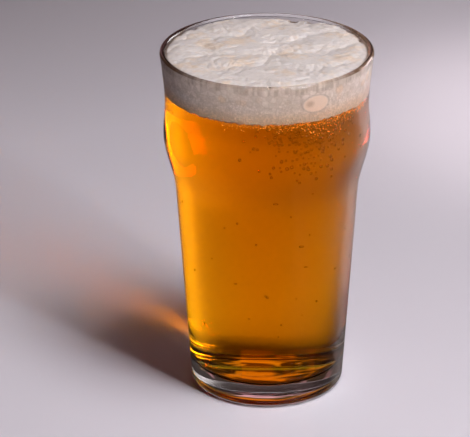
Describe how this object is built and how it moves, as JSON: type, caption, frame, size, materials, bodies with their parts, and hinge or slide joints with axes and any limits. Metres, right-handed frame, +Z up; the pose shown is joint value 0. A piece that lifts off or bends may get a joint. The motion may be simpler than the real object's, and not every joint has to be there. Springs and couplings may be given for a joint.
{
  "type": "pint of beer",
  "caption": "Tall glass with a bulge under its lip, filled with clear amber beer and topped by a folded white head of foam.",
  "frame": {"origin": "centre of the glass's base, on the surface it stands on", "axes": "+Z up along the glass's axis, +Y away from the viewer, +X to the viewer's right"},
  "size_m": [0.0896, 0.0894, 0.152],
  "materials": {
    "glass": "clear, smooth, fire-polished lip",
    "beer": "clear amber drink, with small bubbles on the wall",
    "head": "off-white wet foam, matt, with fine bubbles"
  },
  "bodies": {
    "root": {"glass": "glass", "beer": "beer", "head": "head"}
  },
  "joints": []
}
